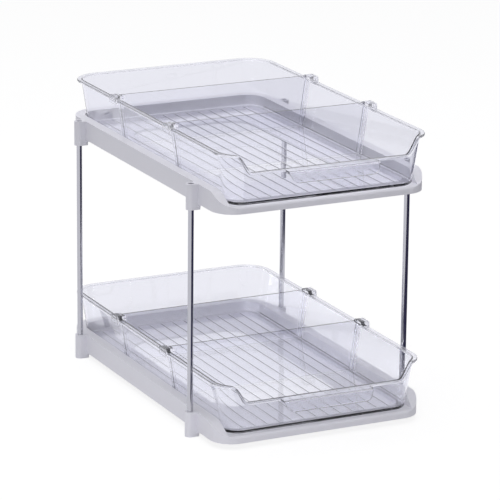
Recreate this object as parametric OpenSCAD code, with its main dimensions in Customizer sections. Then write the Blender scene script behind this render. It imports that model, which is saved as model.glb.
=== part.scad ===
// Two-tier organizer. Two like moulded trays stand one above the other on four steel posts,
// and each tray carries a clear pull-out bin with two lift-out dividers.
// The front is at -Y, and the origin is at the bottom centre of the whole object.

/* [Tray] */
// Width of a tray across its outer skirt
tray_w = 216; // [190:1:260]
// Depth of a tray from its rear skirt to its front lip
tray_d = 358.2; // [320:0.2:400]
// Corner radius of a tray at its rear
tray_rear_r = 30; // [24:1:36]
// Corner radius of a tray at its front
tray_front_r = 22; // [18:1:28]
// Width of the flat rim on top of a tray's walls
tray_rim_w = 9.6; // [8:0.2:12]
// Wall thickness of a tray
tray_t = 2.2; // [1.6:0.1:2.6]
// Thickness of a tray's floor
tray_floor_t = 2.5; // [1.8:0.1:3.5]
// Height of the ledge that carries a bin above the floor
ledge_h = 4.5; // [3.5:0.1:6]
// Width of that ledge
ledge_w = 4.6; // [3.4:0.1:5.4]
// Distance that a tray's inner wall leans out between ledge and rim
tray_lean = 2; // [1:0.1:2.2]
// Depth of the front sill behind the lip
sill_d = 15.6; // [12:0.2:20]
// Run of the curve by which the side walls fall to the front lip
fall_run = 25.6; // [18:0.2:32]
// Radius of the nose along the front lip
lip_r = 3; // [1:0.1:4]
// Distance from a tray's side to the large opening in its floor
window_side = 44; // [30:1:60]
// Distance from a tray's rear to that opening
window_rear = 49.6; // [34:0.2:80]
// Distance from a tray's front to that opening
window_front = 83.6; // [40:0.2:110]
// Corner radius of the opening
window_r = 25; // [10:1:40]

/* [Sockets and posts] */
// Distance of the rear posts' axes in front of the tray's rear skirt
rear_inset = 44.6; // [36:0.2:60]
// Distance of the front posts' axes behind the tray's front lip
front_inset = 53.6; // [46:0.2:70]
// Distance of a post's axis outside the tray's skirt
post_out = 5; // [4.2:0.1:7]
// Diameter of a post
post_d = 5.5; // [4:0.1:7]
// Height from one tray to the next
tier_rise = 220.2; // [160:0.2:300]
// Height of a socket, which is also the height of the tray's rim above its feet
socket_h = 24.3; // [22:0.1:30]
// Wall thickness of a socket
socket_t = 2.1; // [1.6:0.1:3]
// Distance that a socket reaches below the tray, as a foot
foot_h = 5.5; // [3:0.1:8]
// Thickness of the stop in the middle of a socket
stop_t = 2.1; // [1.2:0.1:4]
// Radius of the gusset between a socket's foot and the skirt
gusset_r = 5; // [2:0.5:7]
// Radial clearance of a post in its socket
post_fit = 0.05; // [0.02:0.01:0.08]
// Chamfer at the ends of a post
post_chamfer = 0.6; // [0.2:0.1:1]

/* [Bin] */
// Clearance between a bin's foot and a tray's inner wall on each side
bin_fit = 0.35; // [0.2:0.05:1.2]
// Distance of a bin's rear rim in front of the tray's rear skirt, when the bin is home
bin_stop = 0.8; // [0.7:0.1:3]
// Distance that a bin's front rim then stands out before the tray's lip
bin_front = 5.4; // [2:0.2:8]
// Distance that the upper bin stands forward of that place
upper_bin_out = 3.6; // [0:0.1:20]
// Height of a bin
bin_h = 49; // [38:0.5:90]
// Distance by which a bin's corner radius is less than its tray's would ask for
bin_corner = 1; // [0.8:0.1:4]
// Wall thickness of a bin
bin_t = 1.5; // [1.2:0.1:1.9]
// Thickness of a bin's floor
bin_floor_t = 3; // [2:0.1:4]
// Distance that a bin's walls lean out between floor and rim
bin_lean = 6.9; // [6:0.1:9]
// Width of the rim flange outside the wall
flange_w = 4; // [3:0.1:5]
// Thickness of the rim flange
flange_t = 2; // [1.4:0.1:3]
// Radius along the flange's outer edge
flange_edge_r = 0.8; // [0.3:0.1:1]
// Radius along a bin's bottom edge
bin_foot_r = 2.5; // [1:0.1:3]
// Distance from a bin's side rim to the front scoop
scoop_side = 13.4; // [12:0.2:30]
// Depth of the front scoop below the rim
scoop_h = 16.8; // [8:0.2:24]
// Run of the curve at each end of the scoop
scoop_run = 15; // [10:0.5:20]
// Width of the finger pull
pull_w = 94; // [70:1:120]
// Distance that the finger pull stands out before the flange
pull_out = 8; // [5:0.5:14]
// Height of the finger pull's hanging lip
pull_h = 10.5; // [7:0.1:14]
// Distance that the lip flares forward to its lower edge
pull_flare = 4.4; // [1:0.1:7]
// Distance that each end of the lip draws in to its lower edge
pull_draw = 4; // [1:0.5:8]
// Thickness of the lip
pull_t = 1.6; // [1.2:0.1:1.9]
// Radius of the lip's lower corners
pull_r = 5; // [2:0.5:6]
// Spacing of the low ribs on a bin's floor
rib_pitch = 12.8; // [6:0.1:24]
// Width of a rib
rib_w = 2; // [1:0.1:4]
// Height of a rib
rib_h = 0.5; // [0.2:0.1:1]
// Clear floor between the outer ribs and the walls
rib_margin = 8; // [4:0.5:20]

/* [Dividers] */
// Distance of the lower rear divider in front of its bin's rear rim
lower_divider_rear = 121; // [80:0.2:140]
// Distance between the two dividers of the lower bin
lower_divider_gap = 112.8; // [80:0.2:160]
// Distance of the upper rear divider in front of its bin's rear rim
upper_divider_rear = 114; // [80:0.2:140]
// Distance between the two dividers of the upper bin
upper_divider_gap = 122.6; // [80:0.2:160]
// Thickness of a divider
divider_t = 1.8; // [1.2:0.1:2.5]
// Clearance between a divider and what it hangs in
divider_fit = 0.4; // [0.3:0.05:0.8]
// Width of the flat flange at each end of a divider
end_w = 9; // [5:0.5:14]
// Thickness of that end flange
end_t = 1.4; // [1:0.1:2]
// Width of the hook over the rim
hook_w = 15; // [12:0.5:30]
// Height of the hook and of the plate's top edge above the rim
hook_h = 4.4; // [2:0.1:8]
// Radius of the hook's two upper corners, seen from the side
hook_corner_r = 3; // [1:0.1:5]
// Thickness of the hook's outer leg
leg_t = 1.6; // [1:0.1:1.8]
// Length of the hook's outer leg below the rim's top
leg_h = 3.6; // [2.4:0.1:6]
// Radius along the hook's inner and outer upper edges
hook_r = 1; // [0.4:0.1:1.2]

/* [Hidden] */
$fn = 96;
// Steps along a drawn curve
curve_steps = 16;
// Steps along a small rounded edge
edge_steps = 4;
// Overrun of every cut
cut = 1;

// Places of the trays, seen from the middle of the four posts
post_x = tray_w / 2 + post_out;
post_y = (tray_d - rear_inset - front_inset) / 2;
tray_rear_y = post_y + rear_inset;
tray_front_y = tray_rear_y - tray_d;
rim_z = socket_h;
floor_z = foot_h + tray_floor_t;
ledge_z = floor_z + ledge_h;
socket_r = post_d / 2 + post_fit + socket_t;
bore_r = post_d / 2 + post_fit;
bore_h = (socket_h - stop_t) / 2;
post_h = tier_rise - socket_h + 2 * bore_h;

// Places of the bins
slope = bin_lean / (bin_h - bin_floor_t);
bin_foot_in = flange_w + slope * bin_h;
bin_w = tray_w - 2 * (tray_rim_w + tray_lean + bin_fit - bin_foot_in);
bin_r = tray_rear_r - tray_rim_w - tray_lean - bin_fit - bin_corner + bin_foot_in;
bin_rear_y = tray_rear_y - bin_stop;
bin_front_y = tray_front_y - bin_front;
bin_z = ledge_z;
scoop_w = bin_w - 2 * (scoop_side + scoop_run);
scoop_z = bin_h - scoop_h;
divider_z = bin_floor_t + rib_h + divider_fit;
lower_divider_y = bin_rear_y - lower_divider_rear;
upper_divider_y = bin_rear_y - upper_bin_out - upper_divider_rear;
scoop_y = bin_front_y + slope * scoop_h;
pull_y = scoop_y - pull_out;

// Shift that puts the origin at the middle of the whole object's depth
origin_y = (upper_bin_out + pull_flare - pull_y - tray_rear_y) / 2;

// Distance of a bin wall's inner face inside the rim's outer edge, at a height
function wall_x(z) = -flange_w - bin_t - slope * (bin_h - z);

// Half the clear width between a bin's side walls, at a height, less the dividers' clearance
function divider_half(z) = bin_w / 2 + wall_x(z) - divider_fit;

// Points along a small arc
function arc(x, y, r, from, to) = [
    for (k = [0:edge_steps])
        let(a = from + (to - from) * k / edge_steps)
            [x + r * cos(a), y + r * sin(a)]
];

// Share of a smooth fall that is left after a share of its run
function fall_share(u) = (1 + cos(180 * u)) / 2;

module at_tier(tier) {
    translate([0, origin_y, tier * tier_rise])
        children();
}

// Sweeps a section round a rounded rectangle. In the section, x = 0 is the outline and
// x grows outward.
module swept_round(half_w, front_y, rear_y, front_r, rear_r) {
    for (side = [0, 1])
        mirror([side, 0, 0]) {
            translate([half_w, rear_y - rear_r, 0])
                rotate([90, 0, 0])
                    linear_extrude(rear_y - rear_r - front_y - front_r)
                        children();
            translate([half_w - rear_r, rear_y - rear_r, 0])
                rotate_extrude(angle = 90)
                    translate([rear_r, 0])
                        children();
            translate([half_w - front_r, front_y + front_r, 0])
                rotate([0, 0, -90])
                    rotate_extrude(angle = 90)
                        translate([front_r, 0])
                            children();
        }
    translate([rear_r - half_w, rear_y, 0])
        rotate([90, 0, 90])
            linear_extrude(2 * (half_w - rear_r))
                children();
    translate([half_w - front_r, front_y, 0])
        rotate([90, 0, -90])
            linear_extrude(2 * (half_w - front_r))
                children();
}

// A flat rounded rectangle with its own radius at the front and at the rear
module round_plan(half_w, front_y, rear_y, front_r, rear_r) {
    for (side = [-1, 1]) {
        translate([side * (half_w - rear_r), rear_y - rear_r])
            circle(rear_r);
        translate([side * (half_w - front_r), front_y + front_r])
            circle(front_r);
    }
    translate([-half_w, front_y + front_r])
        square([2 * half_w, rear_y - rear_r - front_y - front_r]);
    translate([rear_r - half_w, rear_y - 2 * rear_r])
        square([2 * (half_w - rear_r), 2 * rear_r]);
    translate([front_r - half_w, front_y])
        square([2 * (half_w - front_r), 2 * front_r]);
}

// Side view of a tray: level rim, then the curve down to the lip and its rounded nose
module tray_side_view() {
    difference() {
        polygon(concat(
            [[tray_rear_y, rim_z], [tray_rear_y, 0], [tray_front_y, 0]],
            [for (k = [curve_steps:-1:0])
                let(u = k / curve_steps)
                    [tray_front_y + (1 - u) * fall_run, ledge_z + (rim_z - ledge_z) * fall_share(u)]]
        ));
        difference() {
            translate([tray_front_y - cut, ledge_z - lip_r])
                square([lip_r + cut, lip_r + cut]);
            translate([tray_front_y + lip_r, ledge_z - lip_r])
                circle(lip_r);
        }
    }
}

// Extrudes a side view, drawn in Y and Z, across a tray
module across_tray(side_room) {
    translate([side_room - tray_w / 2, 0, 0])
        rotate([90, 0, 90])
            linear_extrude(tray_w - 2 * side_room)
                children();
}

// The straight part of the space between a tray's leaning walls, from the ledge up and open
// to the front, or that space grown by a wall
module straight_basin(wall) {
    rim_half = tray_w / 2 - tray_rim_w + wall;
    // The leaning walls carry on above the rim by the overrun, at the same slope
    over = tray_lean * cut / (rim_z - ledge_z);
    translate([0, tray_rear_y - tray_rear_r, 0])
        rotate([90, 0, 0])
            linear_extrude(tray_d - tray_rear_r + cut)
                polygon([
                    [tray_lean - rim_half, ledge_z - wall], [rim_half - tray_lean, ledge_z - wall],
                    [rim_half + over, rim_z + cut], [-rim_half - over, rim_z + cut],
                ]);
}

// The hollow under a tray's rim, between its outer skirt and its inner wall
module under_rim() {
    wall_foot_x = -tray_rim_w - tray_lean;
    lower_x = wall_foot_x - ledge_w + tray_t;
    difference() {
        intersection() {
            swept_round(tray_w / 2, tray_front_y, tray_rear_y, tray_front_r, tray_rear_r)
                polygon([
                    [-tray_t, foot_h - cut],
                    [-tray_t, rim_z],
                    [tray_t - tray_rim_w, rim_z],
                    [tray_t + wall_foot_x, ledge_z - tray_t],
                    [lower_x, ledge_z - tray_t],
                    [lower_x, foot_h - cut],
                ]);
            across_tray(tray_t)
                translate([0, -tray_t])
                    tray_side_view();
        }
        straight_basin(tray_t);
    }
}

// The space inside a tray that takes the bin
module tray_basin() {
    rim_half = tray_w / 2 - tray_rim_w;
    ledge_half = rim_half - tray_lean;
    rear_r = tray_rear_r - tray_rim_w;
    mid_y = tray_rear_y - tray_rear_r;
    over = tray_lean * cut / (rim_z - ledge_z);
    top_z = rim_z + cut;
    straight_basin(0);
    for (side = [-1, 1])
        translate([side * (rim_half - rear_r), mid_y, ledge_z])
            cylinder(h = top_z - ledge_z, r1 = rear_r - tray_lean, r2 = rear_r + over);
    translate([rear_r - rim_half, mid_y, 0])
        rotate([90, 0, 90])
            linear_extrude(2 * (rim_half - rear_r))
                polygon([
                    [-cut, ledge_z], [rear_r - tray_lean, ledge_z],
                    [rear_r + over, top_z], [-cut, top_z],
                ]);
    translate([0, 0, floor_z])
        linear_extrude(ledge_h + cut)
            round_plan(
                ledge_half - ledge_w,
                tray_front_y + sill_d,
                mid_y + rear_r - tray_lean - ledge_w,
                tray_front_r - sill_d / 2,
                rear_r - tray_lean - ledge_w
            );
}

// One round socket outside the skirt, before it is bored. A web joins it to the skirt, and
// the skirt's lower edge runs down to its foot in a round gusset on each side.
module socket() {
    cylinder(h = socket_h, r = socket_r);
    translate([-post_out - tray_t, -socket_r, 0])
        cube([post_out + tray_t, 2 * socket_r, socket_h]);
    translate([-post_out - tray_t, 0, 0])
        rotate([90, 0, 90])
            linear_extrude(tray_t)
                difference() {
                    translate([-socket_r - gusset_r, foot_h - gusset_r])
                        square([2 * (socket_r + gusset_r), gusset_r + tray_t]);
                    for (side = [-1, 1])
                        translate([side * (socket_r + gusset_r), foot_h - gusset_r])
                            circle(gusset_r);
                }
}

// Repeats its children at the four posts, turned so that +X always points outward
module at_posts() {
    for (side = [0, 1])
        mirror([side, 0, 0])
            for (y = [-post_y, post_y])
                translate([post_x, y, 0])
                    children();
}

module tray() {
    color([0.86, 0.86, 0.90])
        difference() {
            union() {
                intersection() {
                    translate([0, 0, foot_h])
                        linear_extrude(rim_z - foot_h)
                            round_plan(tray_w / 2, tray_front_y, tray_rear_y, tray_front_r, tray_rear_r);
                    across_tray(0)
                        tray_side_view();
                }
                at_posts()
                    socket();
            }
            tray_basin();
            under_rim();
            translate([0, 0, foot_h - cut])
                linear_extrude(tray_floor_t + 2 * cut)
                    round_plan(
                        tray_w / 2 - window_side, tray_front_y + window_front,
                        tray_rear_y - window_rear, window_r, window_r
                    );
            at_posts()
                for (z = [-cut, socket_h - bore_h])
                    translate([0, 0, z])
                        cylinder(h = bore_h + cut, r = bore_r);
        }
}

module post(side, row) {
    r = post_d / 2;
    color([0.62, 0.63, 0.66])
        translate([side * post_x, row * post_y, socket_h - bore_h])
            rotate_extrude()
                polygon([
                    [0, 0], [r - post_chamfer, 0], [r, post_chamfer],
                    [r, post_h - post_chamfer], [r - post_chamfer, post_h], [0, post_h],
                ]);
}

// Edge of the scoop on the right, from the rim down to the level bottom, sunk by a depth
function scoop_edge(depth) = [
    for (k = [0:curve_steps])
        let(
            u = k / curve_steps,
            tilt = atan(scoop_h / 2 * sin(180 * u) * PI / scoop_run)
        )
            [
                scoop_w / 2 + (1 - u) * scoop_run + depth * sin(tilt),
                scoop_z + scoop_h * fall_share(u) - depth * cos(tilt),
            ]
];

// That edge and its mirror image, from right to left
function scoop_line(depth) = concat(
    scoop_edge(depth),
    [for (k = [curve_steps:-1:0]) let(p = scoop_edge(depth)[k]) [-p.x, p.y]]
);

// Extrudes a front view, drawn in X and Z, through a bin's front wall
module through_front() {
    translate([0, bin_front_y + bin_r, 0])
        rotate([90, 0, 0])
            linear_extrude(bin_r + cut)
                children();
}

module bin_shell() {
    inner_x = wall_x(bin_floor_t);
    outer_foot_x = wall_x(0) + bin_t;
    swept_round(bin_w / 2, bin_front_y, bin_rear_y, bin_r, bin_r)
        polygon(concat(
            [[wall_x(bin_h), bin_h], [inner_x, bin_floor_t], [inner_x - bin_t, bin_floor_t]],
            [[inner_x - bin_t, 0]],
            arc(outer_foot_x - bin_foot_r, bin_foot_r, bin_foot_r, -90, 0),
            [[wall_x(bin_h - flange_t) + bin_t, bin_h - flange_t]],
            [[-flange_edge_r, bin_h - flange_t]],
            arc(-flange_edge_r, bin_h - flange_edge_r, flange_edge_r, 0, 90)
        ));
    linear_extrude(bin_floor_t)
        round_plan(
            bin_w / 2 + inner_x, bin_front_y - inner_x, bin_rear_y + inner_x,
            bin_r + inner_x, bin_r + inner_x
        );
}

// The flange that follows the scoop, kept parallel to the leaning wall
module scoop_flange() {
    intersection() {
        swept_round(bin_w / 2, bin_front_y, bin_rear_y, bin_r, bin_r)
            polygon([
                [wall_x(0) + bin_t / 2, 0],
                [wall_x(bin_h) + bin_t / 2, bin_h],
                [0, bin_h],
                [-slope * bin_h, 0],
            ]);
        through_front()
            polygon(concat(
                scoop_line(0),
                [for (k = [2 * curve_steps + 1:-1:0]) scoop_line(flange_t)[k]]
            ));
    }
}

// The finger pull: a wider stretch of the front flange, with a lip that hangs from its edge
module finger_pull() {
    half = pull_w / 2;
    foot_half = half - pull_draw;
    foot_z = scoop_z - pull_h;
    tilt = atan(pull_draw / pull_h);
    under_z = scoop_z - flange_t;
    lip_y = pull_y - pull_flare * flange_t / pull_h + pull_t;
    intersection() {
        translate([-half, 0, 0])
            rotate([90, 0, 90])
                linear_extrude(pull_w)
                    polygon(concat(
                        [[scoop_y + flange_w, scoop_z]],
                        arc(pull_y + flange_edge_r, scoop_z - flange_edge_r, flange_edge_r, 90, 180),
                        [[pull_y - pull_flare, foot_z], [pull_y - pull_flare + pull_t, foot_z]],
                        [[lip_y, under_z], [scoop_y + flange_w, under_z]]
                    ));
        translate([0, scoop_y + flange_w + cut, 0])
            rotate([90, 0, 0])
                linear_extrude(flange_w + pull_out + pull_flare + 2 * cut)
                    polygon(concat(
                        [[half, scoop_z + cut], [-half, scoop_z + cut], [-half, under_z]],
                        arc(pull_r - foot_half, foot_z + pull_r, pull_r, 180 + tilt, 270),
                        arc(foot_half - pull_r, foot_z + pull_r, pull_r, -90, -tilt),
                        [[half, under_z]]
                    ));
    }
}

module floor_ribs() {
    half_w = bin_w / 2 + wall_x(bin_floor_t) - rib_margin;
    count = floor(half_w / rib_pitch);
    front_y = bin_front_y - wall_x(bin_floor_t) + rib_margin;
    rear_y = bin_rear_y + wall_x(bin_floor_t) - rib_margin;
    for (k = [-count:count])
        translate([k * rib_pitch - rib_w / 2, front_y, bin_floor_t / 2])
            cube([rib_w, rear_y - front_y, bin_floor_t / 2 + rib_h]);
}

module bin(out) {
    color([0.80, 0.86, 0.95, 0.35])
        translate([0, -out, bin_z]) {
            difference() {
                bin_shell();
                through_front()
                    polygon(concat(
                        scoop_line(0),
                        [[-scoop_w / 2 - scoop_run, bin_h + cut], [scoop_w / 2 + scoop_run, bin_h + cut]]
                    ));
            }
            scoop_flange();
            finger_pull();
            floor_ribs();
        }
}

// A divider drawn about its own mid plane, in the height of its bin
module divider_form() {
    foot_half = divider_half(divider_z);
    top_half = divider_half(bin_h);
    inner_x = top_half - end_t;
    outer_x = bin_w / 2 + divider_fit + leg_t;
    top_z = bin_h + hook_h;
    rotate([90, 0, 0]) {
        translate([0, 0, -divider_t / 2])
            linear_extrude(divider_t)
                polygon([
                    [-foot_half, divider_z], [foot_half, divider_z], [top_half, bin_h],
                    [top_half, top_z], [-top_half, top_z], [-top_half, bin_h],
                ]);
        for (side = [0, 1])
            mirror([side, 0, 0]) {
                translate([0, 0, -end_w / 2])
                    linear_extrude(end_w)
                        polygon([
                            [foot_half, divider_z], [top_half, bin_h],
                            [top_half, bin_h + hook_h / 2], [inner_x, bin_h + hook_h / 2],
                            [inner_x, bin_h], [foot_half - end_t, divider_z],
                        ]);
                intersection() {
                    translate([0, 0, -hook_w / 2 - cut])
                        linear_extrude(hook_w + 2 * cut)
                            polygon(concat(
                                arc(inner_x + hook_r, top_z - hook_r, hook_r, 90, 180),
                                [[inner_x, bin_h], [outer_x - leg_t, bin_h]],
                                [[outer_x - leg_t, bin_h - leg_h], [outer_x, bin_h - leg_h]],
                                arc(outer_x - hook_r, top_z - hook_r, hook_r, 0, 90)
                            ));
                    translate([inner_x - cut, 0, 0])
                        rotate([0, 90, 0])
                            linear_extrude(outer_x - inner_x + 2 * cut)
                                round_plan(
                                    hook_w / 2, bin_h - leg_h - 2 * hook_corner_r, top_z,
                                    hook_corner_r, hook_corner_r
                                );
                }
            }
    }
}

module divider(y) {
    color([0.80, 0.86, 0.95, 0.35])
        translate([0, y, bin_z])
            divider_form();
}

at_tier(0) tray();  // lower_tray
at_tier(1) tray();  // upper_tray
at_tier(0) post(-1, 1);  // rear_left_post
at_tier(0) post(1, 1);  // rear_right_post
at_tier(0) post(-1, -1);  // front_left_post
at_tier(0) post(1, -1);  // front_right_post
at_tier(0) bin(0);  // lower_bin
at_tier(1) bin(upper_bin_out);  // upper_bin
at_tier(0) divider(lower_divider_y);  // lower_rear_divider
at_tier(0) divider(lower_divider_y - lower_divider_gap);  // lower_front_divider
at_tier(1) divider(upper_divider_y);  // upper_rear_divider
at_tier(1) divider(upper_divider_y - upper_divider_gap);  // upper_front_divider
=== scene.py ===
# Two-tier organizer: two white moulded trays on bright steel posts, each with a clear pull-out
# bin and two clear dividers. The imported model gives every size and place, in metres.
import math

import bmesh
import bpy
from mathutils import Matrix, Vector


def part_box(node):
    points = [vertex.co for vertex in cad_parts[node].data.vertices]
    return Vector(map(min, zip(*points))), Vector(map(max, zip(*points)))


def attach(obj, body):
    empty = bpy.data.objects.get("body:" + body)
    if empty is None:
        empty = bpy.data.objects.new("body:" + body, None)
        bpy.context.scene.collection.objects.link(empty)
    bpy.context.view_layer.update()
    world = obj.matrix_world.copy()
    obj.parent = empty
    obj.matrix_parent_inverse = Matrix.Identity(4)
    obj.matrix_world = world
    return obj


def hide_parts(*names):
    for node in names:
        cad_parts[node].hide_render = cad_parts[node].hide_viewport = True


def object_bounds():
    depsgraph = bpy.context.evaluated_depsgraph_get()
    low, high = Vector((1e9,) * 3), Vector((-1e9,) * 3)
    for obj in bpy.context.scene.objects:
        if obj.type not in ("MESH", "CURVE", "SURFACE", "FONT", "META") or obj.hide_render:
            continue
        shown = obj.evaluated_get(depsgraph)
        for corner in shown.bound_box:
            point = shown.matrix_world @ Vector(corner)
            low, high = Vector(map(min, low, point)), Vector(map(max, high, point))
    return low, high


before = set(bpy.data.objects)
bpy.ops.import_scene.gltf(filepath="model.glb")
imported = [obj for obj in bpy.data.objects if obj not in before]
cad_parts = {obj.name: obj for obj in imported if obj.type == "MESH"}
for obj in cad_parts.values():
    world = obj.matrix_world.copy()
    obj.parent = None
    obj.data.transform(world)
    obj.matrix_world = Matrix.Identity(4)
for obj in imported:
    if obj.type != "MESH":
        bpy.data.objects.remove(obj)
cad_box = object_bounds()
MM = 0.001

# Camera. It stands where the straight edges of both tiers in the photograph meet their
# vanishing points: in front, to the left and a little above, far off through a long lens.
view_yaw = math.radians(26.229)
view_pitch = math.radians(16.205)
view_roll = math.radians(0.584)
view_right = 11.907 * MM
view_up = 127.883 * MM
view_distance = 3192.684 * MM
focal_px = 3239.5
image_px = 500
sensor_mm = 36
posts_middle = Vector((0, (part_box("rear_left_post")[0].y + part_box("front_left_post")[1].y) / 2, 0))

look = Vector((
    math.sin(view_yaw) * math.cos(view_pitch),
    math.cos(view_yaw) * math.cos(view_pitch),
    -math.sin(view_pitch),
))
level_right = Vector((math.cos(view_yaw), -math.sin(view_yaw), 0))
level_up = level_right.cross(look)
right = math.cos(view_roll) * level_right + math.sin(view_roll) * level_up
up = math.cos(view_roll) * level_up - math.sin(view_roll) * level_right
lens = bpy.data.cameras.new("camera")
lens.sensor_width = sensor_mm
lens.lens = focal_px * sensor_mm / image_px
lens.clip_start = 0.1
lens.clip_end = 200
camera = bpy.data.objects.new("camera", lens)
bpy.context.scene.collection.objects.link(camera)
camera.matrix_world = Matrix.Translation(
    posts_middle + view_right * right + view_up * up - view_distance * look
) @ Matrix((right, up, -look)).transposed().to_4x4()
bpy.context.scene.camera = camera


# Studio. A wide pale floor, an even sky, a large soft lamp above and a small low one that fills
# the lower tier, as in a packshot tent. The camera, mirrors and clear plastic see sky and floor
# as white. A black card before the object, out of sight, gives steel and clear edges dark lines.
class Shade:
    """A socket of a material's node tree. A sum or product on it adds its Math node."""

    def __init__(self, tree, socket=None):
        self.tree = tree
        self.socket = socket

    def node(self, kind, settings=None, inputs=None, out=0):
        """Adds a node of any kind, sets it, fills or links its sockets and returns one output."""
        made = self.tree.nodes.new(kind)
        for name, value in (settings or {}).items():
            setattr(made, name, value)
        for name, value in (inputs or {}).items():
            if isinstance(value, Shade):
                self.tree.links.new(value.socket, made.inputs[name])
            else:
                made.inputs[name].default_value = value
        return Shade(self.tree, made.outputs[out] if made.outputs else None)

    def output(self, name):
        """Another output of the node that this socket belongs to."""
        return Shade(self.tree, self.socket.node.outputs[name])

    def maths(self, operation, first, second):
        return self.node("ShaderNodeMath", {"operation": operation}, {0: first, 1: second})

    def __add__(self, other):
        return self.maths("ADD", self, other)

    def __radd__(self, other):
        return self.maths("ADD", other, self)

    def __mul__(self, other):
        return self.maths("MULTIPLY", self, other)

    def __rmul__(self, other):
        return self.maths("MULTIPLY", other, self)


def shader_tree(owner):
    """Empties a material's or the world's node tree and returns it wrapped."""
    owner.use_nodes = True
    owner.node_tree.nodes.clear()
    return Shade(owner.node_tree)


def seen_ray(tree):
    """1 for a ray that shows something to the camera, also in a mirror or through clear plastic,
    and 0 once it has lit a dull face on its way. With it, white as the camera sees it bare, or
    the backdrop's own pale tones as mirrors and clear plastic show it."""
    path = tree.node("ShaderNodeLightPath", out="Is Camera Ray")
    mirrored = path.output("Is Glossy Ray")
    through = path.output("Is Transmission Ray")
    direct = path.maths("LESS_THAN", path.output("Diffuse Depth"), some_turns)
    seen = direct * path.maths("MAXIMUM", path, path.maths("MAXIMUM", mirrored, through))
    bounced = path.maths("GREATER_THAN", path.output("Glossy Depth"), some_turns)
    blend = {"data_type": "RGBA"}
    tone = tree.node("ShaderNodeMix", blend, {0: bounced, 6: backdrop_tone, 7: mirror_tone}, out=2)
    return seen, tree.node("ShaderNodeMix", blend, {0: path, 6: tone, 7: seen_white}, out=2)


def stage_sheet(name, outline, height, material):
    """A flat part of the studio."""
    mesh = bpy.data.meshes.new(name)
    mesh.from_pydata([(x, y, height) for x, y in outline], [], [tuple(range(len(outline)))])
    mesh.materials.append(material)
    sheet = bpy.data.objects.new(name, mesh)
    bpy.context.scene.collection.objects.link(sheet)
    return sheet


some_turns = 0.5  # a ray's depths are whole numbers, so this parts none from one or more
seen_white = (1.0, 1.0, 1.0, 1.0)
backdrop_tone = (0.86, 0.86, 0.91, 1.0)
mirror_tone = (0.94, 0.94, 1.0, 1.0)
sky_light = (0.41, 0.41, 0.42, 1.0)
floor_bounce = (0.50, 0.50, 0.51, 1.0)
floor_light = (0.17, 0.17, 0.17, 1.0)
floor_paint = (0.25, 0.25, 0.25, 1.0)
floor_glow = 0.83
floor_half = 30.0
card_lift = 0.5 * MM
card_near = 30 * MM
card_far = 1.2
card_black = (0.06, 0.056, 0.12, 1.0)
soft_lamps = {
    "softbox": {"size": (2.2, 2.2), "watts": 29.0, "spread": 180, "place": (-0.3, 0.0, 2.6), "aim": 0.1},
    "low_fill": {"size": (0.6, 0.14), "watts": 0.16, "spread": 40, "place": (-0.75, -0.75, 0.16), "aim": 0.03},
}

world = bpy.data.worlds.new("tent")
bpy.context.scene.world = world
tree = shader_tree(world)
seen, tone = seen_ray(tree)
shown = tree.node("ShaderNodeMix", {"data_type": "RGBA"}, {0: seen, 6: sky_light, 7: tone}, out=2)
sky = tree.node("ShaderNodeBackground", inputs={"Color": shown, "Strength": 1.0})
tree.node("ShaderNodeOutputWorld", inputs={"Surface": sky})

floor_finish = bpy.data.materials.new("floor_finish")
tree = shader_tree(floor_finish)
lit = tree.node("ShaderNodeAddShader", inputs={
    0: tree.node("ShaderNodeBsdfDiffuse", inputs={"Color": floor_bounce}),
    1: tree.node("ShaderNodeEmission", inputs={"Color": floor_light, "Strength": 1.0}),
})
paint = tree.node("ShaderNodeBsdfDiffuse", inputs={"Color": floor_paint})
seen, tone = seen_ray(tree)
glow = tree.node("ShaderNodeEmission", inputs={"Color": tone, "Strength": floor_glow})
shown = tree.node("ShaderNodeAddShader", inputs={0: paint, 1: glow})
tree.node("ShaderNodeOutputMaterial", inputs={
    "Surface": tree.node("ShaderNodeMixShader", inputs={0: seen, 1: lit, 2: shown}),
})
square = ((-1, -1), (1, -1), (1, 1), (-1, 1))
stage_sheet("floor", [(x * floor_half, y * floor_half) for x, y in square], 0, floor_finish)

# Only rays that a mirror or an inner face turned back meet the card. Others pass through it.
card_finish = bpy.data.materials.new("card_finish")
tree = shader_tree(card_finish)
turns = tree.node("ShaderNodeLightPath", out="Glossy Depth")
turned = tree.maths("GREATER_THAN", turns, some_turns)
free = tree.node("ShaderNodeBsdfTransparent")
dark = tree.node("ShaderNodeBsdfDiffuse", inputs={"Color": card_black})
tree.node("ShaderNodeOutputMaterial", inputs={
    "Surface": tree.node("ShaderNodeMixShader", inputs={0: turned, 1: free, 2: dark}),
})
low, high = cad_box
along = Vector((math.sin(view_yaw), math.cos(view_yaw)))
corner = Vector((high[0] + card_near, low[1] - card_near))
card = stage_sheet("card", [
    (low[0] - card_near, low[1] - card_near),
    (low[0] - card_near, low[1] - card_far),
    (high[0] + card_far, low[1] - card_far),
    tuple(corner + along * card_far + Vector((card_far / 2, 0))),
    tuple(corner),
], card_lift, card_finish)
card.visible_camera = False
card.visible_diffuse = False
card.visible_shadow = False

for name, values in soft_lamps.items():
    lamp_data = bpy.data.lights.new(name, "AREA")
    lamp_data.shape = "RECTANGLE"
    lamp_data.size, lamp_data.size_y = values["size"]
    lamp_data.energy = values["watts"]
    lamp_data.spread = math.radians(values["spread"])
    lamp = bpy.data.objects.new(name, lamp_data)
    bpy.context.scene.collection.objects.link(lamp)
    lamp.location = values["place"]
    aim = Vector((0, 0, values["aim"])) - lamp.location
    lamp.rotation_euler = aim.to_track_quat("-Z", "Y").to_euler()

bpy.context.scene.view_settings.view_transform = "Standard"
bpy.context.scene.cycles.max_bounces = 24
bpy.context.scene.cycles.transmission_bounces = 20
bpy.context.scene.cycles.transparent_max_bounces = 24
bpy.context.scene.cycles.glossy_bounces = 6


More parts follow.
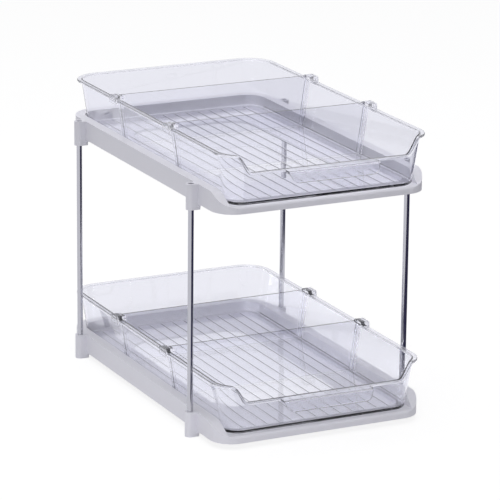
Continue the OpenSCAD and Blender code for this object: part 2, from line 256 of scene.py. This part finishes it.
# Trays. Each is one injection moulding in satin white polypropylene, open underneath: a hollow
# rim, a ledge for the bin, a floor with a large opening and four round post sockets.
# The mould rounds every edge a little, and leaves a very fine even grain on the faces.
def finish_piece(piece, nodes, body):
    """Says what a piece replaces and what it moves with."""
    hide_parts(*nodes)
    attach(piece, body)


def plain_object(name, bm, material):
    mesh = bpy.data.meshes.new(name)
    bm.to_mesh(mesh)
    bm.free()
    made = bpy.data.objects.new(name, mesh)
    bpy.context.scene.collection.objects.link(made)
    mesh.materials.append(material)
    return made


def settle(piece):
    """Replaces a piece's live modifiers by the plain mesh that they give."""
    graph = bpy.context.evaluated_depsgraph_get()
    mesh = bpy.data.meshes.new_from_object(piece.evaluated_get(graph))
    piece.modifiers.clear()
    piece.data = mesh


def even_shading(piece):
    """Smooths the rounds, while the flat faces beside them stay exactly flat."""
    piece.data.shade_smooth()
    piece.data.set_sharp_from_angle(angle=sharp_turn)
    even = piece.modifiers.new("even", "WEIGHTED_NORMAL")
    even.keep_sharp = True
    even.weight = flat_weight
    settle(piece)


def rounded_copy(node, name, material, edge_r, edge_steps):
    """A copy of a node's shape, with its corners merged and its sharp edges rounded."""
    bm = bmesh.new()
    bm.from_mesh(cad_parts[node].data)
    bmesh.ops.remove_doubles(bm, verts=bm.verts[:], dist=merge_reach)
    bmesh.ops.dissolve_degenerate(bm, dist=sliver, edges=bm.edges[:])
    bmesh.ops.dissolve_limit(bm, angle_limit=flat_turn, verts=bm.verts[:], edges=bm.edges[:])
    piece = plain_object(name, bm, material)
    bevel = piece.modifiers.new("round", "BEVEL")
    bevel.width = edge_r
    bevel.segments = edge_steps
    bevel.limit_method = "ANGLE"
    bevel.angle_limit = edge_turn
    settle(piece)
    even_shading(piece)
    return piece


merge_reach = 0.001 * MM
sliver = 0.05 * MM
flat_turn = math.radians(1)
edge_turn = math.radians(32)
sharp_turn = math.radians(50)
flat_weight = 80
plastic_ior = 1.49
tray_white = (0.79, 0.785, 0.85, 1.0)
tray_cloud = (0.81, 0.805, 0.87, 1.0)
tray_edge_r = 0.5 * MM
tray_edge_steps = 3
grain_pitch = 0.35 * MM

tray_plastic = bpy.data.materials.new("tray_plastic")
tree = shader_tree(tray_plastic)
place = tree.node("ShaderNodeTexCoord", out="Object")
grain = tree.node("ShaderNodeTexNoise", inputs={"Vector": place, "Scale": 1 / grain_pitch, "Detail": 3.0})
clouds = tree.node("ShaderNodeTexNoise", inputs={"Vector": place, "Scale": 14.0, "Detail": 2.0})
bump = tree.node("ShaderNodeBump", inputs={"Strength": 0.08, "Distance": 0.02 * MM, "Height": grain})
colour = tree.node("ShaderNodeMix", {"data_type": "RGBA"}, {0: clouds, 6: tray_white, 7: tray_cloud}, out=2)
plastic = tree.node("ShaderNodeBsdfPrincipled", inputs={
    "Base Color": colour, "Roughness": 0.34 + 0.08 * clouds, "Normal": bump, "IOR": plastic_ior,
})
tree.node("ShaderNodeOutputMaterial", inputs={"Surface": plastic})

for tier in ("lower", "upper"):
    name = f"{tier}_tray"
    tray = rounded_copy(name, f"{name}_moulding", tray_plastic, tray_edge_r, tray_edge_steps)
    finish_piece(tray, [name], "frame")

# Posts. Four bright chromed steel rods, cut to length, their ends chamfered so that they start
# in the sockets. They are pushed home against the stop inside each socket.
chrome = bpy.data.materials.new("post_chrome")
tree = shader_tree(chrome)
place = tree.node("ShaderNodeTexCoord", out="Object")
smear = tree.node("ShaderNodeTexNoise", inputs={"Vector": place, "Scale": 60.0, "Detail": 4.0})
metal = tree.node("ShaderNodeBsdfPrincipled", inputs={
    "Base Color": (0.50, 0.50, 0.53, 1.0), "Metallic": 1.0, "Roughness": 0.08 + 0.08 * smear,
})
tree.node("ShaderNodeOutputMaterial", inputs={"Surface": metal})
for side in ("rear_left", "rear_right", "front_left", "front_right"):
    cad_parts[f"{side}_post"].data.materials[0] = chrome

# Bins. Each is one deep injection moulding in clear polystyrene: leaning walls with round
# corners, a flat flange round the rim, a scoop in the front with a finger pull below it, and
# low ribs along the floor. It isn't fixed, but slides on the ledge of its tray.
wall_t = 1.5 * MM
floor_t = 3 * MM
bin_lean = 6.9 * MM
flange_w = 4 * MM
flange_t = 2 * MM
scoop_h = 16.8 * MM
scoop_run = 15 * MM
scoop_side = 13.4 * MM
pull_half = 47 * MM
pull_out = 8 * MM
pull_h = 10.5 * MM
pull_flare = 4.4 * MM
pull_draw = 4 * MM
pull_t = 1.6 * MM
pull_corner_r = 5 * MM
rib_pitch = 12.8 * MM
rib_w = 2 * MM
rib_h = 0.15 * MM
rib_deep = 1.2 * MM
rib_margin = 8 * MM
inner_foot_r = 1.5 * MM
outer_foot_r = 2.5 * MM
inner_edge_r = 0.5 * MM
outer_edge_r = 0.8 * MM
under_edge_r = 0.4 * MM
round_steps = 4
lip_steps = 12
rod_sides = 64
scoop_turn = 36
scoop_steps = 24
side_steps = 12
rear_steps = 18
fit_rounds = 6
bin_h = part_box("lower_bin")[1].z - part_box("lower_bin")[0].z
bin_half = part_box("lower_bin")[1].x
bin_r = scoop_side + scoop_run
slope = bin_lean / (bin_h - floor_t)
scoop_half = bin_half - scoop_side - scoop_run


def quarter(radius, rising):
    """Pairs of sideways and downward distances along a quarter round, from its side or its top."""
    pairs = [
        (radius * (1 - math.cos(turn)), radius * (1 - math.sin(turn)))
        for turn in (math.pi / 2 * k / round_steps for k in range(round_steps + 1))
    ]
    return pairs if rising else pairs[::-1]


def wall_section(centre, way, scooped):
    """A bin wall's section as insets from the rim's outline, heights and rim shares, from the
    floor over the rim to the bottom. In the front it follows the scoop, which goes by x alone."""

    def fall(inset):
        x = abs(centre.x + way.x * (bin_r - inset))
        share = min(max((scoop_half + scoop_run - x) / scoop_run, 0), 1) if scooped else 0
        return math.pi * share

    def top(inset):
        return bin_h - scoop_h + scoop_h * (1 + math.cos(fall(inset))) / 2

    def under(inset):
        steep = scoop_h / 2 * math.sin(fall(inset)) * math.pi / scoop_run
        return top(inset) - flange_t * math.hypot(1, steep)

    def inner(z):
        return flange_w + wall_t + slope * (bin_h - z)

    def outer(z):
        return flange_w + slope * (bin_h - z)

    edge, rim_in, rim_out = 0, inner(bin_h), outer(bin_h)
    for _ in range(fit_rounds):
        edge = slope * (bin_h - top(edge))
        rim_in = inner(top(rim_in))
        rim_out = outer(under(rim_out))
    section = []
    for side, down in quarter(inner_foot_r, False):
        section.append((inner(floor_t + down) + side, floor_t + down, 0))
    for side, down in quarter(inner_edge_r, True):
        section.append((rim_in - side, top(rim_in - side) - down, side / inner_edge_r))
    for side, down in quarter(outer_edge_r, False):
        section.append((edge + side, top(edge + side) - down, 1))
    for side, down in quarter(under_edge_r, True):
        section.append((edge + side, under(edge + side) + down, 1))
    for side, down in quarter(under_edge_r, False):
        section.append((rim_out - side, under(rim_out - side) - down, side / under_edge_r))
    for side, down in quarter(outer_foot_r, True):
        section.append((outer(down) + side, down, 0))
    return section


def bin_wall(name, low, high, material):
    """The bin's floor, walls and flange as one closed skin, lofted round its four corners."""
    front = low.y + pull_out + pull_flare - slope * scoop_h
    fine = [scoop_turn * k / scoop_steps for k in range(scoop_steps)]
    fine += [scoop_turn + (90 - scoop_turn) * k / side_steps for k in range(side_steps + 1)]
    coarse = [90 * k / rear_steps for k in range(rear_steps + 1)]
    corners = [
        (Vector((bin_half - bin_r, front + bin_r)), [-90 + a for a in fine]),
        (Vector((bin_half - bin_r, high.y - bin_r)), coarse),
        (Vector((bin_r - bin_half, high.y - bin_r)), [90 + a for a in coarse]),
        (Vector((bin_r - bin_half, front + bin_r)), [270 - a for a in fine[::-1]]),
    ]
    bm = bmesh.new()
    satin = bm.verts.layers.float.new("satin")
    rings = []
    for centre, turns in corners:
        for turn in turns:
            way = Vector((math.cos(math.radians(turn)), math.sin(math.radians(turn))))
            section = wall_section(centre, way, centre.y < 0)
            ring = []
            for inset, z, share in section:
                ring.append(bm.verts.new((*(centre + way * (bin_r - inset)), low.z + z)))
                ring[-1][satin] = share
            rings.append(ring)
    for ring, following in zip(rings, rings[1:] + rings[:1]):
        for k in range(len(ring) - 1):
            bm.faces.new((ring[k], following[k], following[k + 1], ring[k + 1]))
    bm.faces.new([ring[0] for ring in rings])
    bm.faces.new([ring[-1] for ring in rings])
    bmesh.ops.recalc_face_normals(bm, faces=bm.faces[:])
    return plain_object(name, bm, material)


def finger_pull(name, low, material):
    """The front flange's wider stretch, with the lip that hangs from it, as one bent strip."""
    rim_z = low.z + bin_h - scoop_h
    foot_z = rim_z - pull_h
    under_z = rim_z - flange_t
    nose_y = low.y + pull_flare
    back_y = nose_y + pull_out + flange_w / 2
    lip_y = nose_y - pull_flare * flange_t / pull_h + pull_t
    outside = [(back_y, rim_z)]
    outside += [(nose_y + side, rim_z - down) for side, down in quarter(outer_edge_r, False)]
    inside = [(back_y, under_z)]
    inside += [(lip_y + side, under_z - down) for side, down in quarter(outer_edge_r, False)]
    for path, end_y in ((outside, low.y), (inside, low.y + pull_t)):
        start_y, start_z = path[-1]
        for k in range(1, lip_steps + 1):
            share = k / lip_steps
            path.append((start_y + (end_y - start_y) * share, start_z + (foot_z - start_z) * share))
    bm = bmesh.new()
    satin = bm.verts.layers.float.new("satin")
    rows = []
    for side in (-1, 1):
        ends = quarter(under_edge_r, True)
        for inset, thinner in ends if side < 0 else ends[::-1]:
            row = []
            for (out_y, out_z), (in_y, in_z) in zip(outside, inside):
                across = Vector((in_y - out_y, in_z - out_z)).normalized() * thinner
                for y, z in ((out_y + across.x, out_z + across.y), (in_y - across.x, in_z - across.y)):
                    half = pull_half - pull_draw * (rim_z - z) / pull_h
                    rise = max(foot_z + pull_corner_r - z, 0)
                    half -= pull_corner_r - math.sqrt(max(pull_corner_r ** 2 - rise ** 2, 0))
                    row.append(bm.verts.new((side * (half - inset), y, z)))
                    row[-1][satin] = 1
            rows.append(row)
    count = len(outside)
    for row, following in zip(rows, rows[1:]):
        for k in range(count - 1):
            bm.faces.new((row[2 * k], row[2 * k + 2], following[2 * k + 2], following[2 * k]))
            bm.faces.new((row[2 * k + 1], following[2 * k + 1], following[2 * k + 3], row[2 * k + 3]))
        bm.faces.new((row[0], following[0], following[1], row[1]))
        bm.faces.new((row[-2], row[-1], following[-1], following[-2]))
    for row in (rows[0], rows[-1]):
        for k in range(count - 1):
            bm.faces.new((row[2 * k], row[2 * k + 1], row[2 * k + 3], row[2 * k + 2]))
    bmesh.ops.recalc_face_normals(bm, faces=bm.faces[:])
    return plain_object(name, bm, material)


def rib_tree():
    """Geometry Nodes that set a row of oval rods in a bin's floor, whose tops are its ribs."""
    tree = bpy.data.node_groups.new("rib_row", "GeometryNodeTree")
    tree.interface.new_socket("Geometry", in_out="OUTPUT", socket_type="NodeSocketGeometry")
    kinds = {
        "Ribs": "NodeSocketInt", "Start": "NodeSocketVector", "Pitch": "NodeSocketFloat",
        "Across": "NodeSocketFloat", "Deep": "NodeSocketFloat", "Length": "NodeSocketFloat",
        "Finish": "NodeSocketMaterial",
    }
    for name, kind in kinds.items():
        tree.interface.new_socket(name, in_out="INPUT", socket_type=kind)
    base = Shade(tree)
    sizes = base.node("NodeGroupInput", out="Ribs")
    step = base.node("ShaderNodeCombineXYZ", inputs={"X": sizes.output("Pitch")})
    row = base.node("GeometryNodeMeshLine", inputs={
        "Count": sizes, "Start Location": sizes.output("Start"), "Offset": step,
    })
    rod = base.node("GeometryNodeMeshCylinder", inputs={
        "Vertices": rod_sides, "Radius": 1.0, "Depth": 1.0,
    })
    shape = base.node("ShaderNodeCombineXYZ", inputs={
        "X": sizes.output("Across"), "Y": sizes.output("Deep"), "Z": sizes.output("Length"),
    })
    rib = base.node("GeometryNodeTransform", inputs={
        "Geometry": rod, "Rotation": (math.pi / 2, 0, 0), "Scale": shape,
    })
    placed = base.node("GeometryNodeInstanceOnPoints", inputs={"Points": row, "Instance": rib})
    real = base.node("GeometryNodeRealizeInstances", inputs={"Geometry": placed})
    done = base.node("GeometryNodeSetMaterial", inputs={
        "Geometry": real, "Material": sizes.output("Finish"),
    })
    base.node("NodeGroupOutput", inputs={"Geometry": done})
    return tree


def floor_ribs(name, low, high, material):
    """The ribs of one bin, each the low arch that stands out of the floor from an oval rod."""
    floor_in = flange_w + wall_t + slope * (bin_h - floor_t) + rib_margin
    front_y = low.y + pull_out + pull_flare - slope * scoop_h + floor_in
    rear_y = high.y - floor_in
    each_side = math.floor((bin_half - floor_in) / rib_pitch)
    rib_across = rib_w / 2 / math.sqrt(1 - (1 - rib_h / rib_deep) ** 2)
    sizes = {
        "Ribs": 2 * each_side + 1,
        "Start": (-each_side * rib_pitch, (front_y + rear_y) / 2, low.z + floor_t + rib_h - rib_deep),
        "Pitch": rib_pitch, "Across": rib_across, "Deep": rib_deep, "Length": rear_y - front_y,
        "Finish": material,
    }
    ribs = plain_object(name, bmesh.new(), material)
    row = ribs.modifiers.new("row", "NODES")
    row.node_group = rib_tree()
    for item in row.node_group.interface.items_tree:
        if item.in_out == "INPUT":
            row[item.identifier] = sizes[item.name]
    settle(ribs)
    return ribs


def join_solid(piece, others):
    """Makes one closed skin of a piece and others that it overlaps, and evens its shading."""
    for other in others:
        join = piece.modifiers.new("join", "BOOLEAN")
        join.operation = "UNION"
        join.solver = "EXACT"
        join.object = other
    settle(piece)
    for other in others:
        bpy.data.objects.remove(other)
    even_shading(piece)


def satin_ribs(piece, low):
    """Leaves satin, of a bin's floor and what lies near it, only the tops of the ribs."""
    for spot, place in zip(piece.data.attributes["satin"].data, piece.data.vertices):
        height = place.co.z - low.z
        if height < 2 * floor_t:
            spot.value = 1 if rib_h / 10 < height - floor_t < rib_h * 1.1 else 0


def clear_plastic(name, tint, shade_tint):
    """A clear moulded plastic, with faint smears in its gloss and satin where the piece's own
    attribute says so. Shadow rays pass straight through."""
    material = bpy.data.materials.new(name)
    tree = shader_tree(material)
    place = tree.node("ShaderNodeTexCoord", out="Object")
    smear = tree.node("ShaderNodeTexNoise", inputs={"Vector": place, "Scale": 22.0, "Detail": 5.0})
    satin = tree.node("ShaderNodeAttribute", {"attribute_name": "satin"}, out="Fac")
    body = tree.node("ShaderNodeBsdfPrincipled", inputs={
        "Base Color": tint, "Roughness": gloss_rough + smear_rough * smear + satin_rough * satin,
        "IOR": plastic_ior, "Transmission Weight": 1.0,
    })
    free = tree.node("ShaderNodeBsdfTransparent", inputs={"Color": shade_tint})
    shadow = tree.node("ShaderNodeLightPath", out="Is Shadow Ray")
    both = tree.node("ShaderNodeMixShader", inputs={0: shadow, 1: body, 2: free})
    tree.node("ShaderNodeOutputMaterial", inputs={"Surface": both})
    return material


gloss_rough = 0.004
smear_rough = 0.02
satin_rough = 0.14
clear_tint = (0.93, 0.932, 0.96, 1.0)
clear_shade = (0.97, 0.97, 0.975, 1.0)
bin_clear = clear_plastic("bin_clear", clear_tint, clear_shade)
for tier in ("lower", "upper"):
    low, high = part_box(f"{tier}_bin")
    shell = bin_wall(f"{tier}_bin_moulding", low, high, bin_clear)
    join_solid(shell, [
        finger_pull(f"{tier}_pull", low, bin_clear),
        floor_ribs(f"{tier}_ribs", low, high, bin_clear),
    ])
    satin_ribs(shell, low)
    finish_piece(shell, [f"{tier}_bin"], f"{tier}_bin")

# Dividers. Four clear moulded plates, each with a flange at both ends that lies along the bin's
# wall, and a round-shouldered hook that drops over the rim. They lift straight out.
divider_edge_r = 0.3 * MM
divider_edge_steps = 2
hook_satin = 2.0
divider_clear = clear_plastic("divider_clear", clear_tint, clear_shade)
for tier in ("lower", "upper"):
    for row in ("rear", "front"):
        name = f"{tier}_{row}_divider"
        plate = rounded_copy(name, f"{name}_plate", divider_clear, divider_edge_r, divider_edge_steps)
        rim_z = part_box(f"{tier}_bin")[1].z
        satin = plate.data.attributes.new("satin", "FLOAT", "POINT")
        for spot, place in zip(satin.data, plate.data.vertices):
            hook = abs(place.co.x) > bin_half - flange_w and place.co.z > rim_z - flange_t
            spot.value = hook_satin if hook else 0.0
        finish_piece(plate, [name], name)
